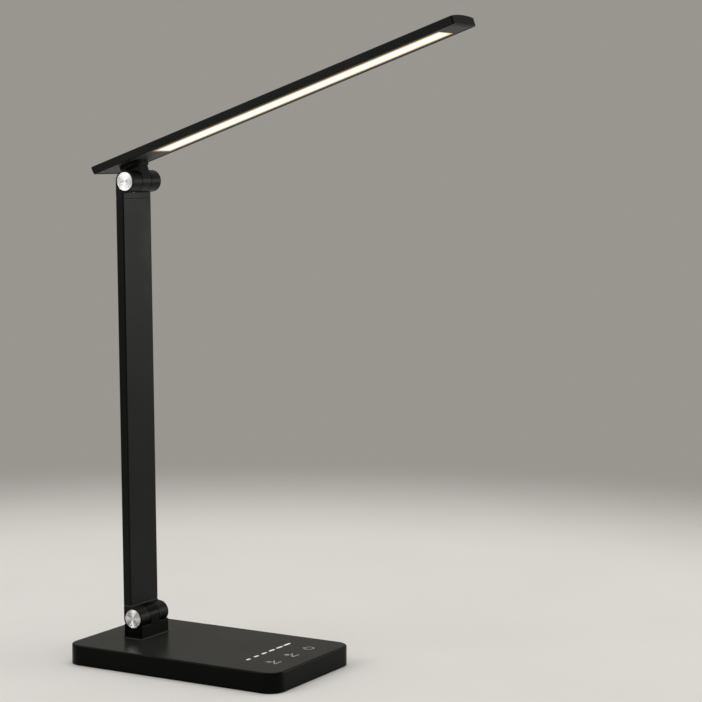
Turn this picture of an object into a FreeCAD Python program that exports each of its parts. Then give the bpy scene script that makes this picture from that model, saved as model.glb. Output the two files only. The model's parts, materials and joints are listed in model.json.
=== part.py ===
import FreeCAD, Part
import math
import os

# Folding LED table lamp: a weighted base with touch keys, a flat arm and a light bar on two friction hinges.
# Frame: origin on the table under the middle of the base, +X towards the touch keys, +Z up, and both hinge
# axes along Y. All sizes are millimetres.

Vec = FreeCAD.Vector
ORIGIN = Vec(0, 0, 0)
X_AXIS = Vec(1, 0, 0)
Y_AXIS = Vec(0, 1, 0)
Z_AXIS = Vec(0, 0, 1)
SIDES = (-1, 1)

# How far a cutter runs past the face that it opens
OVERRUN = 1.0
# How near to a height or a face an edge counts as lying on it
TOUCH = OVERRUN / 1000

# Base housing
BASE_LENGTH = 170.8
BASE_WIDTH = 100.0
BASE_CORNER_RADIUS = 11.0
BASE_EDGE_ROUND = 1.2
BASE_WALL = 2.0

# Bottom cover, and the non-slip pad let into its underside
COVER_THICKNESS = 2.4
COVER_GAP = 0.15
PAD_THICKNESS = 1.2
PAD_SINK = 0.9
PAD_MARGIN = 4.0
PAD_CORNER_RADIUS = 8.0
PAD_GAP = 0.1

# Small screws, used in the base, the arm and the light bar
SCREW_RADIUS = 1.25
SCREW_HEAD_RADIUS = 2.3
SCREW_HEAD_HEIGHT = 0.9
SCREW_GAP = 0.05
SCREW_HEAD_GAP = 0.2
CROSS_WIDTH = 0.55
CROSS_LENGTH = 2.6
CROSS_DEPTH = 0.5

# Where the cover is screwed to pillars of the housing
COVER_SCREW_INSET = 9.0
COVER_SCREW_LENGTH = 6.5
PILLAR_RADIUS = 3.2

# Steel weight on the cover
WEIGHT_THICKNESS = 4.5
WEIGHT_REAR_ROOM = 17.4
WEIGHT_SIDE_ROOM = 6.0
WEIGHT_BOARD_ROOM = 3.0
WEIGHT_CORNER_RADIUS = 3.0
WEIGHT_SCREW_SPREAD = 60.0
WEIGHT_SCREW_LENGTH = 4.4

# Touch keys and slider under the top face, and the board that senses them
KEY_SETBACK = 18.4
KEY_PITCH = 22.6
KEY_PAD_RADIUS = 4.2
SLIDER_SETBACK = 35.8
SLIDER_LENGTH = 52.0
SLIDER_PAD_WIDTH = 4.0
BOARD_THICKNESS = 1.6
BOARD_DROP = 4.0
BOARD_FRONT_MARGIN = 5.5
BOARD_REAR_MARGIN = 8.5
BOARD_KEY_ROOM = 0.8
BOARD_POST_RADIUS = 2.4
BOARD_POST_INSET = 4.0
BOARD_SCREW_LENGTH = 4.6

# Parts under the board: centre along and across it, length, width, and height, as shares of the board's
# length, width, length, width and of the space under it
BOARD_PART_SHARES = (
    (0.55, 0.50, 0.20, 0.10, 0.35),
    (0.35, 0.28, 0.28, 0.14, 0.80),
    (0.30, 0.70, 0.22, 0.11, 0.70),
)

# Power inlet in the rear wall, in a plate that fills a notch of the wall and laps behind it
INLET_SIDE = 4.0
INLET_LAP = 2.0
INLET_LAP_THICKNESS = 1.2
INLET_GAP = 0.1
JACK_BORE_RADIUS = 3.15
JACK_BORE_DEPTH = 9.5
JACK_BARREL_WALL = 0.85
JACK_BLOCK_WALL = 0.6
JACK_NOSE_GAP = 0.1
JACK_FLOOR = 2.0
JACK_GAP = 0.1
JACK_PIN_RADIUS = 1.05
JACK_PIN_SETBACK = 0.9
JACK_ROOT_RADIUS = 0.75
JACK_ROOT_GAP = 0.02

# Leads inside the lamp
LEAD_RADIUS = 1.2
LEAD_GAP = 0.2
LEAD_LAP = 4.0
LEAD_BEND = 2.4
LEAD_SPACING = 4.0

# Hinges: both have the same barrel
HINGE_SETBACK = 32.6
LOWER_AXIS_HEIGHT = 28.4
AXIS_SPACING = 303.2
BARREL_RADIUS = 7.5
BARREL_LENGTH = 32.6
KNUCKLE_LENGTH = 9.8
TURNING_GAP = 0.6
WASHER_INSET = 0.4
WASHER_THICKNESS = 0.5
WASHER_GAP = 0.05
HINGE_SCREW_RADIUS = 2.5
HINGE_SCREW_GRIP = 2.6
HINGE_HEAD_RADIUS = 4.2
HINGE_HEAD_HEIGHT = 2.4
HINGE_HEAD_ROOM = 0.4
HINGE_HEAD_GAP = 0.1
HINGE_SOCKET_RADIUS = 1.7
HINGE_SOCKET_DEPTH = 1.3
RUNNING_GAP = 0.05
BUSH_WALL = 1.5
BUSH_SEAT_GAP = 0.02
CAP_RIM = 1.0
CAP_THICKNESS = 1.2
CAP_EDGE = 0.25
CAP_GAP = 0.15

# Pose in which the lamp stands: the arm leans back a little and the light bar rises to the front
ARM_LEAN_DEG = -0.6
HEAD_RISE_DEG = 18.8

# Pedestal that carries the lower hinge
SHOULDER_DROP = 4.4
SHOULDER_ROUND = 0.5
PEDESTAL_EDGE_ROUND = 0.8
PEDESTAL_LIP = 0.4
PEDESTAL_LIP_HEIGHT = 0.8
PEDESTAL_LIP_ROUND = 0.35
PEDESTAL_SCREW_RADIUS = 1.5
PEDESTAL_SCREW_HEAD_RADIUS = 2.9
PEDESTAL_SCREW_HEAD_HEIGHT = 1.4
PEDESTAL_SCREW_WEB = 2.0
PEDESTAL_SCREW_SPREAD = 22.0

# Arm: a flat tube between two forks, as wide as the barrels are long, its back a little behind theirs
ARM_THICKNESS = 6.5
ARM_PROUD = 0.3
ARM_WALL = 1.2
ARM_EDGE_ROUND = 1.0
ARM_BORE_ROUND = 0.4
FORK_ROOM = 0.4
FORK_RAMP = 0.7
EAR_EDGE_ROUND = 0.3
LOWER_COLLAR = 1.2
UPPER_COLLAR = 3.8
APRON_DROP = 3.4
APRON_THICKNESS = 1.2
TUBE_SEAM = 0.3
TUBE_SEAM_DEPTH = 0.4
TONGUE_LENGTH = 24.0
TONGUE_GAP = 0.1
FORK_SCREW_SPREAD = 16.0
FORK_SCREW_LENGTH = 3.6
FORK_SCREW_HEAD_HEIGHT = 0.7

# Light bar
HEAD_WIDTH = 30.7
HEAD_EDGE = 5.6
HEAD_CROWN = 1.2
HEAD_DROP = 12.8
HEAD_LENGTH = 294.8
HEAD_REAR = 24.8
HEAD_HEEL = 1.4
HEAD_CORNER_RADIUS = 1.2
HEAD_TOP_ROUND = 0.7
HEAD_LOWER_ROUND = 0.4
SHELL_WALL = 1.3
SHELL_ROOF = 1.1
END_CAP_LENGTH = 3.0
END_CAP_TONGUE = 4.0
END_CAP_GAP = 0.1

# Underside plate with the light window
PLATE_THICKNESS = 1.2
PLATE_RECESS = 0.2
PLATE_GAP = 0.1
LIGHT_SIDE_MARGIN = 5.05
LIGHT_START = 24.6
LIGHT_FRONT_MARGIN = 14.2

# Edge-lit panel above the window
DIFFUSER_GAP = 0.1
GUIDE_LAP = 0.4
REFLECTOR_THICKNESS = 0.3
ROOF_ROOM = 0.8
LED_THICKNESS = 0.6
LED_LENGTH = 2.8
LED_PITCH = 6.0
LED_HEIGHT_SHARE = 0.7
LED_GAP = 0.1
LED_STRIP_THICKNESS = 0.8

# Bracket between the upper hinge and the light bar
BOSS_LENGTH = 18.0
BOSS_WIDTH = 16.0
BOSS_HEIGHT = 3.3
BOSS_CORNER_RADIUS = 5.0
BOSS_EDGE_ROUND = 0.5
BRACKET_SCREW_SPREAD = 10.0
BRACKET_SCREW_LENGTH = 3.4
HEAD_LEAD_RADIUS = 0.9
HEAD_LEAD_BEND = 1.6

# Heights and places that follow from the sizes above
COVER_BOTTOM = PAD_THICKNESS - PAD_SINK
COVER_TOP = COVER_BOTTOM + COVER_THICKNESS
JACK_NOSE_RADIUS = JACK_BORE_RADIUS + JACK_BARREL_WALL
JACK_HALF = JACK_NOSE_RADIUS + JACK_BLOCK_WALL
JACK_Z = COVER_TOP + JACK_GAP + JACK_HALF
CEILING = JACK_Z + JACK_HALF + JACK_GAP
BASE_TOP = CEILING + BASE_WALL
REAR_FACE = -BASE_LENGTH / 2
INNER_REAR = REAR_FACE + BASE_WALL
HINGE_X = REAR_FACE + HINGE_SETBACK
KEY_X = BASE_LENGTH / 2 - KEY_SETBACK
SLIDER_X = BASE_LENGTH / 2 - SLIDER_SETBACK
BOARD_TOP = CEILING - BOARD_DROP
BOARD_BOTTOM = BOARD_TOP - BOARD_THICKNESS
BOARD_REAR = SLIDER_X - BOARD_REAR_MARGIN
BOARD_FRONT = KEY_X + BOARD_FRONT_MARGIN
BOARD_POST_Y = KEY_PITCH + KEY_PAD_RADIUS + BOARD_KEY_ROOM + BOARD_POST_RADIUS
BOARD_WIDTH = 2 * (BOARD_POST_Y + BOARD_POST_INSET)
WEIGHT_TOP = COVER_TOP + WEIGHT_THICKNESS
WEIGHT_REAR = INNER_REAR + WEIGHT_REAR_ROOM
WEIGHT_FRONT = BOARD_REAR - WEIGHT_BOARD_ROOM
INLET_HALF = JACK_NOSE_RADIUS + INLET_SIDE
LAP_REAR = INNER_REAR + INLET_GAP
LAP_FRONT = LAP_REAR + INLET_LAP_THICKNESS
JACK_BACK = REAR_FACE + JACK_BORE_DEPTH + JACK_FLOOR
LEAD_Z = max(BOARD_TOP, WEIGHT_TOP) + LEAD_RADIUS + LEAD_GAP
EAR_INNER = KNUCKLE_LENGTH / 2 + WASHER_THICKNESS + 2 * WASHER_GAP
EAR_OUTER = BARREL_LENGTH / 2
HEAD_SEAT = EAR_OUTER - CAP_THICKNESS - 2 * HINGE_HEAD_GAP - HINGE_HEAD_HEIGHT
PEDESTAL_SCREW_TOP = LOWER_AXIS_HEIGHT - BARREL_RADIUS - TURNING_GAP - PEDESTAL_SCREW_WEB
PEDESTAL_SCREW_LENGTH = PEDESTAL_SCREW_TOP - CEILING
BUSH_RADIUS = HINGE_SCREW_RADIUS + RUNNING_GAP + BUSH_WALL
WASHER_RADIUS = BARREL_RADIUS - WASHER_INSET
CAP_RADIUS = BARREL_RADIUS - CAP_RIM
ARM_WIDTH = BARREL_LENGTH
ARM_BACK = -BARREL_RADIUS - ARM_PROUD
ARM_MIDDLE = ARM_BACK + ARM_THICKNESS / 2
FORK_BASE = BARREL_RADIUS + FORK_ROOM
LOWER_COLLAR_TOP = FORK_BASE + LOWER_COLLAR
UPPER_COLLAR_FOOT = AXIS_SPACING - FORK_BASE - UPPER_COLLAR
TUBE_BOTTOM = LOWER_COLLAR_TOP + TUBE_SEAM
TUBE_TOP = UPPER_COLLAR_FOOT - TUBE_SEAM
HEAD_FRONT = HEAD_LENGTH - HEAD_REAR
CHANNEL_HALF = HEAD_WIDTH / 2 - SHELL_WALL
ROOF = HEAD_EDGE - SHELL_ROOF
PLATE_TOP = PLATE_RECESS + PLATE_THICKNESS
LIGHT_END = HEAD_FRONT - LIGHT_FRONT_MARGIN
LIGHT_HALF = HEAD_WIDTH / 2 - LIGHT_SIDE_MARGIN
GUIDE_HALF = LIGHT_HALF + GUIDE_LAP
GUIDE_TOP = ROOF - ROOF_ROOM - REFLECTOR_THICKNESS
STRIP_INNER = GUIDE_HALF + LED_GAP + LED_THICKNESS
STRIP_OUTER = STRIP_INNER + LED_STRIP_THICKNESS


def box(x0, x1, y0, y1, z0, z1):
    return Part.makeBox(x1 - x0, y1 - y0, z1 - z0, Vec(x0, y0, z0))


def rod(radius, start, direction, length):
    return Part.makeCylinder(radius, length, start, direction)


def fused(shapes):
    return shapes[0].multiFuse(shapes[1:]).removeSplitter()


def upright_edges(shape):
    """Edges that rise more steeply than they run."""
    return [e for e in shape.Edges if abs(e.tangentAt(e.FirstParameter).z) > 1 / math.sqrt(2)]


def rounded_slab(x0, x1, y0, y1, z0, z1, radius):
    """A slab whose upright edges are rounded."""
    slab = box(x0, x1, y0, y1, z0, z1)
    return slab.makeFillet(radius, upright_edges(slab))


def prism_along_y(edges, y0, y1):
    """A closed outline drawn at y = 0, drawn out from y0 to y1."""
    face = Part.Face(Part.Wire(edges))
    face.translate(Y_AXIS * y0)
    return face.extrude(Y_AXIS * (y1 - y0))


def polyline(points):
    return [Part.makeLine(a, b) for a, b in zip(points, points[1:])]


def turned(shape, axis, degrees, place=ORIGIN):
    copy = shape.copy()
    copy.rotate(ORIGIN, axis, degrees)
    copy.translate(place)
    return copy


def turned_point(radius, angle, y):
    """A point at an angle about the Y axis, measured from +X towards +Z."""
    return Vec(radius * math.cos(angle), y, radius * math.sin(angle))


def edges_at_height(shape, height):
    """Edges that lie flat at a height."""
    return [
        e
        for e in shape.Edges
        if abs(e.BoundBox.ZMin - height) < TOUCH and abs(e.BoundBox.ZMax - height) < TOUCH
    ]


def screw(radius, head_radius, head_height, length):
    """Cross-head screw: its head stands on z = 0 and its shank points up."""
    body = fused([
        rod(head_radius, ORIGIN, Z_AXIS, head_height),
        rod(radius, Vec(0, 0, head_height), Z_AXIS, length),
    ])
    half_length = CROSS_LENGTH / 2
    half_width = CROSS_WIDTH / 2
    slots = [
        box(-half_length, half_length, -half_width, half_width, -OVERRUN, CROSS_DEPTH),
        box(-half_width, half_width, -half_length, half_length, -OVERRUN, CROSS_DEPTH),
    ]
    return body.cut(fused(slots))


def small_screw(length, head_height=SCREW_HEAD_HEIGHT):
    return screw(SCREW_RADIUS, SCREW_HEAD_RADIUS, head_height, length)


def screw_seat(radius, head_radius, head_height, length):
    """Space that a screw takes, with its clearances: head below z = head_height, shank above."""
    return fused([
        rod(head_radius + SCREW_HEAD_GAP, Vec(0, 0, -OVERRUN), Z_AXIS, head_height + OVERRUN),
        rod(radius + SCREW_GAP, ORIGIN, Z_AXIS, head_height + length + SCREW_GAP),
    ])


def small_seat(length, head_height=SCREW_HEAD_HEIGHT):
    return screw_seat(SCREW_RADIUS, SCREW_HEAD_RADIUS, head_height, length)


def at_places(shape, places):
    """Copies of a shape at several places, as one group."""
    return Part.makeCompound([shape.translated(p) for p in places])


def lead(points, radius, bend):
    """A round lead through points, with an arc of the same radius at each turn."""
    edges = []
    start = points[0]
    for before, corner, after in zip(points, points[1:], points[2:]):
        back = (before - corner).normalize()
        ahead = (after - corner).normalize()
        half_turn = (math.pi - back.getAngle(ahead)) / 2
        reach = bend * math.tan(half_turn)
        arc_start = corner + back * reach
        arc_end = corner + ahead * reach
        inward = (back + ahead).normalize()
        middle = corner + inward * (bend / math.cos(half_turn) - bend)
        edges.append(Part.makeLine(start, arc_start))
        edges.append(Part.Arc(arc_start, middle, arc_end).toShape())
        start = arc_end
    edges.append(Part.makeLine(start, points[-1]))
    section = Part.Wire(Part.makeCircle(radius, points[0], points[1] - points[0]))
    return Part.Wire(edges).makePipeShell([section], True, True)


def base_outline(inset, z0, z1, corner):
    """A slab with the base's outline, drawn in by an inset."""
    half_length = BASE_LENGTH / 2 - inset
    half_width = BASE_WIDTH / 2 - inset
    return rounded_slab(-half_length, half_length, -half_width, half_width, z0, z1, corner)


def cover_screw_places(z):
    x = BASE_LENGTH / 2 - COVER_SCREW_INSET
    y = BASE_WIDTH / 2 - COVER_SCREW_INSET
    return [Vec(sx * x, sy * y, z) for sx in SIDES for sy in SIDES]


def weight_screw_places(z):
    middle = (WEIGHT_REAR + WEIGHT_FRONT) / 2
    return [Vec(middle + s * WEIGHT_SCREW_SPREAD / 2, 0, z) for s in SIDES]


def board_screw_places(z):
    rear = BOARD_REAR + BOARD_POST_INSET
    front = BOARD_FRONT - BOARD_POST_INSET
    return [Vec(x, s * BOARD_POST_Y, z) for x in (rear, front) for s in SIDES]


def pedestal_screw_places(z):
    return [Vec(HINGE_X, s * PEDESTAL_SCREW_SPREAD / 2, z) for s in SIDES]


# Height of the cover screws' heads, just above the pad
HEADS_Z = COVER_BOTTOM + PAD_SINK
BOARD_HEADS_Z = BOARD_BOTTOM - SCREW_HEAD_HEIGHT
PEDESTAL_HEADS_Z = CEILING - PEDESTAL_SCREW_HEAD_HEIGHT
LEAD_HOLE_RADIUS = LEAD_RADIUS + LEAD_GAP
LEAD_HOLE_FOOT = Vec(HINGE_X + ARM_MIDDLE, 0, CEILING - OVERRUN)


def pedestal_seats():
    seat = screw_seat(
        PEDESTAL_SCREW_RADIUS, PEDESTAL_SCREW_HEAD_RADIUS, PEDESTAL_SCREW_HEAD_HEIGHT, PEDESTAL_SCREW_LENGTH
    )
    return at_places(seat, pedestal_screw_places(PEDESTAL_HEADS_Z))


def make_base_housing():
    outer = base_outline(0, COVER_BOTTOM, BASE_TOP, BASE_CORNER_RADIUS)
    outer = outer.makeFillet(BASE_EDGE_ROUND, edges_at_height(outer, BASE_TOP))
    hollow = base_outline(BASE_WALL, COVER_BOTTOM - OVERRUN, CEILING, BASE_CORNER_RADIUS - BASE_WALL)
    pillar = rod(PILLAR_RADIUS, ORIGIN, Z_AXIS, CEILING - COVER_TOP)
    post = rod(BOARD_POST_RADIUS, ORIGIN, Z_AXIS, BOARD_DROP)
    supports = [pillar.translated(p) for p in cover_screw_places(COVER_TOP)]
    supports += [post.translated(p) for p in board_screw_places(BOARD_TOP)]
    housing = fused([outer.cut(hollow)] + supports)
    notch = box(
        REAR_FACE - OVERRUN, INNER_REAR + OVERRUN, -INLET_HALF, INLET_HALF, COVER_BOTTOM - OVERRUN, CEILING
    )
    lead_hole = rod(LEAD_HOLE_RADIUS, LEAD_HOLE_FOOT, Z_AXIS, BASE_WALL + 2 * OVERRUN)
    cutters = [
        at_places(small_seat(COVER_SCREW_LENGTH), cover_screw_places(HEADS_Z)),
        at_places(small_seat(BOARD_SCREW_LENGTH), board_screw_places(BOARD_HEADS_Z)),
        pedestal_seats(),
        notch,
        lead_hole,
    ]
    for cutter in cutters:
        housing = housing.cut(cutter)
    return housing


def make_base_cover():
    inset = BASE_WALL + COVER_GAP
    plate = base_outline(inset, COVER_BOTTOM, COVER_TOP, BASE_CORNER_RADIUS - inset)
    recess = base_outline(PAD_MARGIN - PAD_GAP, COVER_BOTTOM - OVERRUN, HEADS_Z, PAD_CORNER_RADIUS + PAD_GAP)
    plate = plate.cut(recess)
    plate = plate.cut(at_places(small_seat(COVER_SCREW_LENGTH), cover_screw_places(HEADS_Z)))
    return plate.cut(at_places(small_seat(WEIGHT_SCREW_LENGTH), weight_screw_places(HEADS_Z)))


def make_non_slip_pad():
    return base_outline(PAD_MARGIN, 0, PAD_THICKNESS, PAD_CORNER_RADIUS)


def make_base_weight():
    half_width = BASE_WIDTH / 2 - BASE_WALL - WEIGHT_SIDE_ROOM
    plate = rounded_slab(
        WEIGHT_REAR, WEIGHT_FRONT, -half_width, half_width, COVER_TOP, WEIGHT_TOP, WEIGHT_CORNER_RADIUS
    )
    return plate.cut(at_places(small_seat(WEIGHT_SCREW_LENGTH), weight_screw_places(HEADS_Z)))


def make_control_board():
    half_width = BOARD_WIDTH / 2
    board = box(BOARD_REAR, BOARD_FRONT, -half_width, half_width, BOARD_BOTTOM, BOARD_TOP)
    return board.cut(at_places(small_seat(BOARD_SCREW_LENGTH), board_screw_places(BOARD_HEADS_Z)))


def make_board_parts():
    """Chip, coil and capacitor that hang under the board."""
    length = BOARD_FRONT - BOARD_REAR
    space = BOARD_BOTTOM - COVER_TOP
    parts = []
    for along, across, long_share, wide_share, high_share in BOARD_PART_SHARES:
        x = BOARD_REAR + along * length
        y = (across - 1 / 2) * BOARD_WIDTH
        half_x = long_share * length / 2
        half_y = wide_share * BOARD_WIDTH / 2
        foot = BOARD_BOTTOM - high_share * space
        parts.append(box(x - half_x, x + half_x, y - half_y, y + half_y, foot, BOARD_BOTTOM))
    return Part.makeCompound(parts)


def make_key_foams():
    """Conductive foam that carries each key's touch from the top face to the board."""
    foam = rod(KEY_PAD_RADIUS, ORIGIN, Z_AXIS, BOARD_DROP)
    return at_places(foam, [Vec(KEY_X, i * KEY_PITCH, BOARD_TOP) for i in (-1, 0, 1)])


def make_slider_foam():
    half_x = SLIDER_PAD_WIDTH / 2
    half_y = SLIDER_LENGTH / 2
    return box(SLIDER_X - half_x, SLIDER_X + half_x, -half_y, half_y, BOARD_TOP, CEILING)


def make_inlet_plate():
    """Plate that fills the rear wall's notch around the inlet, with a lap behind the wall."""
    half = INLET_HALF - INLET_GAP
    half_lap = INLET_HALF + INLET_LAP
    plate = box(REAR_FACE, LAP_REAR, -half, half, COVER_BOTTOM, CEILING - INLET_GAP)
    lap = box(LAP_REAR, LAP_FRONT, -half_lap, half_lap, COVER_TOP + INLET_GAP, CEILING - INLET_GAP)
    start = Vec(REAR_FACE - OVERRUN, 0, JACK_Z)
    nose_hole = rod(JACK_NOSE_RADIUS + JACK_NOSE_GAP, start, X_AXIS, LAP_FRONT + OVERRUN - start.x)
    return fused([plate, lap]).cut(nose_hole)


def make_dc_jack():
    front = LAP_FRONT + JACK_GAP
    body = box(front, JACK_BACK, -JACK_HALF, JACK_HALF, JACK_Z - JACK_HALF, JACK_Z + JACK_HALF)
    nose = rod(JACK_NOSE_RADIUS, Vec(REAR_FACE, 0, JACK_Z), X_AXIS, JACK_BACK - REAR_FACE)
    bore = rod(JACK_BORE_RADIUS, Vec(REAR_FACE - OVERRUN, 0, JACK_Z), X_AXIS, JACK_BORE_DEPTH + OVERRUN)
    root_end = JACK_BORE_DEPTH + JACK_FLOOR / 2
    root_hole = rod(JACK_ROOT_RADIUS + JACK_ROOT_GAP, Vec(REAR_FACE, 0, JACK_Z), X_AXIS, root_end)
    return fused([body, nose]).cut(bore).cut(root_hole)


def make_dc_jack_pin():
    free_length = JACK_BORE_DEPTH - JACK_PIN_SETBACK
    pin = rod(JACK_PIN_RADIUS, Vec(REAR_FACE + JACK_PIN_SETBACK, 0, JACK_Z), X_AXIS, free_length)
    root = rod(JACK_ROOT_RADIUS, Vec(REAR_FACE + JACK_BORE_DEPTH, 0, JACK_Z), X_AXIS, JACK_FLOOR / 2)
    return fused([pin, root])


def make_power_lead():
    """From the inlet over the weight to the board."""
    start = Vec(JACK_BACK, -LEAD_SPACING, LEAD_Z)
    return rod(LEAD_RADIUS, start, X_AXIS, BOARD_REAR + LEAD_LAP - JACK_BACK)


def make_lamp_lead():
    """From the board over the weight, then up through the pedestal to the lower hinge."""
    rise = HINGE_X + ARM_MIDDLE
    return lead(
        [
            Vec(BOARD_REAR + LEAD_LAP, 0, LEAD_Z),
            Vec(rise, 0, LEAD_Z),
            Vec(rise, 0, LOWER_AXIS_HEIGHT),
        ],
        LEAD_RADIUS,
        LEAD_BEND,
    )


def knuckle_outline(reach):
    """A half round about the hinge axis, carried straight down to a reach below it."""
    r = BARREL_RADIUS
    points = [Vec(-r, 0, 0), Vec(-r, 0, -reach), Vec(r, 0, -reach), Vec(r, 0, 0)]
    return polyline(points) + [Part.Arc(Vec(r, 0, 0), Vec(0, 0, r), Vec(-r, 0, 0)).toShape()]


def knuckle_holes():
    """Tapped holes for the two hinge screws, about the hinge axis."""
    radius = HINGE_SCREW_RADIUS + SCREW_GAP
    depth = HINGE_SCREW_GRIP + SCREW_GAP + OVERRUN
    outside = KNUCKLE_LENGTH / 2 + OVERRUN
    return Part.makeCompound([rod(radius, Y_AXIS * (s * outside), Y_AXIS * -s, depth) for s in SIDES])


def make_pedestal():
    """Block on the base with the lower hinge's centre knuckle, and shoulders under the arm's two ears."""
    height = LOWER_AXIS_HEIGHT - BASE_TOP
    half_knuckle = KNUCKLE_LENGTH / 2
    knuckle = prism_along_y(knuckle_outline(height), -half_knuckle, half_knuckle)
    block = rounded_slab(
        -BARREL_RADIUS, BARREL_RADIUS, -EAR_OUTER, EAR_OUTER, -height, -SHOULDER_DROP, PEDESTAL_EDGE_ROUND
    )
    block = block.makeFillet(SHOULDER_ROUND, edges_at_height(block, -SHOULDER_DROP))
    for s in SIDES:
        start = Vec(0, s * half_knuckle, 0)
        block = block.cut(rod(BARREL_RADIUS + TURNING_GAP, start, Y_AXIS * s, EAR_OUTER))
    lip = rounded_slab(
        -BARREL_RADIUS - PEDESTAL_LIP,
        BARREL_RADIUS + PEDESTAL_LIP,
        -EAR_OUTER - PEDESTAL_LIP,
        EAR_OUTER + PEDESTAL_LIP,
        -height,
        PEDESTAL_LIP_HEIGHT - height,
        PEDESTAL_EDGE_ROUND + PEDESTAL_LIP,
    )
    lip = lip.makeFillet(PEDESTAL_LIP_ROUND, edges_at_height(lip, PEDESTAL_LIP_HEIGHT - height))
    pedestal = fused([block, knuckle, lip]).cut(knuckle_holes())
    pedestal.translate(Vec(HINGE_X, 0, LOWER_AXIS_HEIGHT))
    lead_hole = rod(LEAD_HOLE_RADIUS, LEAD_HOLE_FOOT, Z_AXIS, LOWER_AXIS_HEIGHT + BARREL_RADIUS)
    return pedestal.cut(pedestal_seats()).cut(lead_hole)


def make_pedestal_screws():
    one = screw(
        PEDESTAL_SCREW_RADIUS, PEDESTAL_SCREW_HEAD_RADIUS, PEDESTAL_SCREW_HEAD_HEIGHT, PEDESTAL_SCREW_LENGTH
    )
    return at_places(one, pedestal_screw_places(PEDESTAL_HEADS_Z))


def mirrored_pair(shape):
    """A piece on the +Y side of a hinge with its twin on the other side."""
    return Part.makeCompound([shape, turned(shape, X_AXIS, 180)])


def make_hinge_screws():
    """Shoulder screws, one from each side: they grip the knuckle and the ears turn on them."""
    grip_end = KNUCKLE_LENGTH / 2 - HINGE_SCREW_GRIP
    shank = rod(HINGE_SCREW_RADIUS, Y_AXIS * grip_end, Y_AXIS, HEAD_SEAT - grip_end)
    head = rod(HINGE_HEAD_RADIUS, Y_AXIS * HEAD_SEAT, Y_AXIS, HINGE_HEAD_HEIGHT)
    socket_floor = HEAD_SEAT + HINGE_HEAD_HEIGHT - HINGE_SOCKET_DEPTH
    corners = [turned_point(HINGE_SOCKET_RADIUS, i * math.pi / 3, socket_floor) for i in range(7)]
    socket = Part.Face(Part.Wire(polyline(corners))).extrude(Y_AXIS * (HINGE_SOCKET_DEPTH + OVERRUN))
    return mirrored_pair(fused([shank, head]).cut(socket))


def make_washers():
    start = Y_AXIS * (KNUCKLE_LENGTH / 2 + WASHER_GAP)
    disc = rod(WASHER_RADIUS, start, Y_AXIS, WASHER_THICKNESS)
    hole = rod(HINGE_SCREW_RADIUS + RUNNING_GAP, ORIGIN, Y_AXIS, BARREL_LENGTH)
    return mirrored_pair(disc.cut(hole))


def make_bushes():
    start = Y_AXIS * EAR_INNER
    sleeve = rod(BUSH_RADIUS, start, Y_AXIS, HEAD_SEAT - HINGE_HEAD_GAP - EAR_INNER)
    hole = rod(HINGE_SCREW_RADIUS + RUNNING_GAP, ORIGIN, Y_AXIS, BARREL_LENGTH)
    return mirrored_pair(sleeve.cut(hole))


def make_hinge_caps():
    """Bright discs that close the ears over the hinge screws."""
    disc = rod(CAP_RADIUS, Y_AXIS * (EAR_OUTER - CAP_THICKNESS), Y_AXIS, CAP_THICKNESS)
    rim = [e for e in disc.Edges if abs(e.BoundBox.YMin - EAR_OUTER) < TOUCH]
    return mirrored_pair(disc.makeChamfer(CAP_EDGE, rim))


def ear_outline():
    """Barrel round with a neck that rises from its back to the collar and ramps down to its front."""
    r = BARREL_RADIUS
    front = ARM_BACK + ARM_THICKNESS
    ramp_foot = front + FORK_RAMP
    meets = Vec(ramp_foot, 0, math.sqrt(r ** 2 - ramp_foot ** 2))
    low = turned_point(r, -math.pi / 4, 0)
    points = [Vec(-r, 0, 0), Vec(-r, 0, FORK_BASE), Vec(front, 0, FORK_BASE), meets]
    return polyline(points) + [Part.Arc(meets, low, Vec(-r, 0, 0)).toShape()]


def make_ear(side):
    """One ear, with the edge of its outer face rounded where it is free."""
    outer = side * EAR_OUTER
    ear = prism_along_y(ear_outline(), side * EAR_INNER, outer)
    face = next(f for f in ear.Faces if abs(f.CenterOfMass.y - outer) < TOUCH)
    free = [e for e in face.Edges if abs(e.BoundBox.ZMin - FORK_BASE) > TOUCH]
    return ear.makeFillet(EAR_EDGE_ROUND, free)


def ear_bores(side):
    """Recess for the cap, recess for the screw head and seat for the bush, from one side."""
    steps = [
        (CAP_RADIUS + CAP_GAP, EAR_OUTER - CAP_THICKNESS),
        (HINGE_HEAD_RADIUS + HINGE_HEAD_ROOM, HEAD_SEAT - HINGE_HEAD_GAP),
        (BUSH_RADIUS + BUSH_SEAT_GAP, EAR_INNER - OVERRUN),
    ]
    end = EAR_OUTER + OVERRUN
    return [rod(radius, Y_AXIS * (side * floor), Y_AXIS * side, end - floor) for radius, floor in steps]


def arm_section(inset, z0, z1, round_radius):
    """A length of the arm's flat section, drawn in by an inset."""
    half_width = ARM_WIDTH / 2 - inset
    back = ARM_BACK + inset
    front = ARM_BACK + ARM_THICKNESS - inset
    return rounded_slab(back, front, -half_width, half_width, z0, z1, round_radius)


def fork_screw_places(z):
    return [Vec(ARM_BACK, s * FORK_SCREW_SPREAD / 2, z) for s in SIDES]


def fork_screw_seats(z):
    seat = turned(small_seat(FORK_SCREW_LENGTH, FORK_SCREW_HEAD_HEIGHT), Y_AXIS, 90)
    return at_places(seat, fork_screw_places(z))


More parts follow.
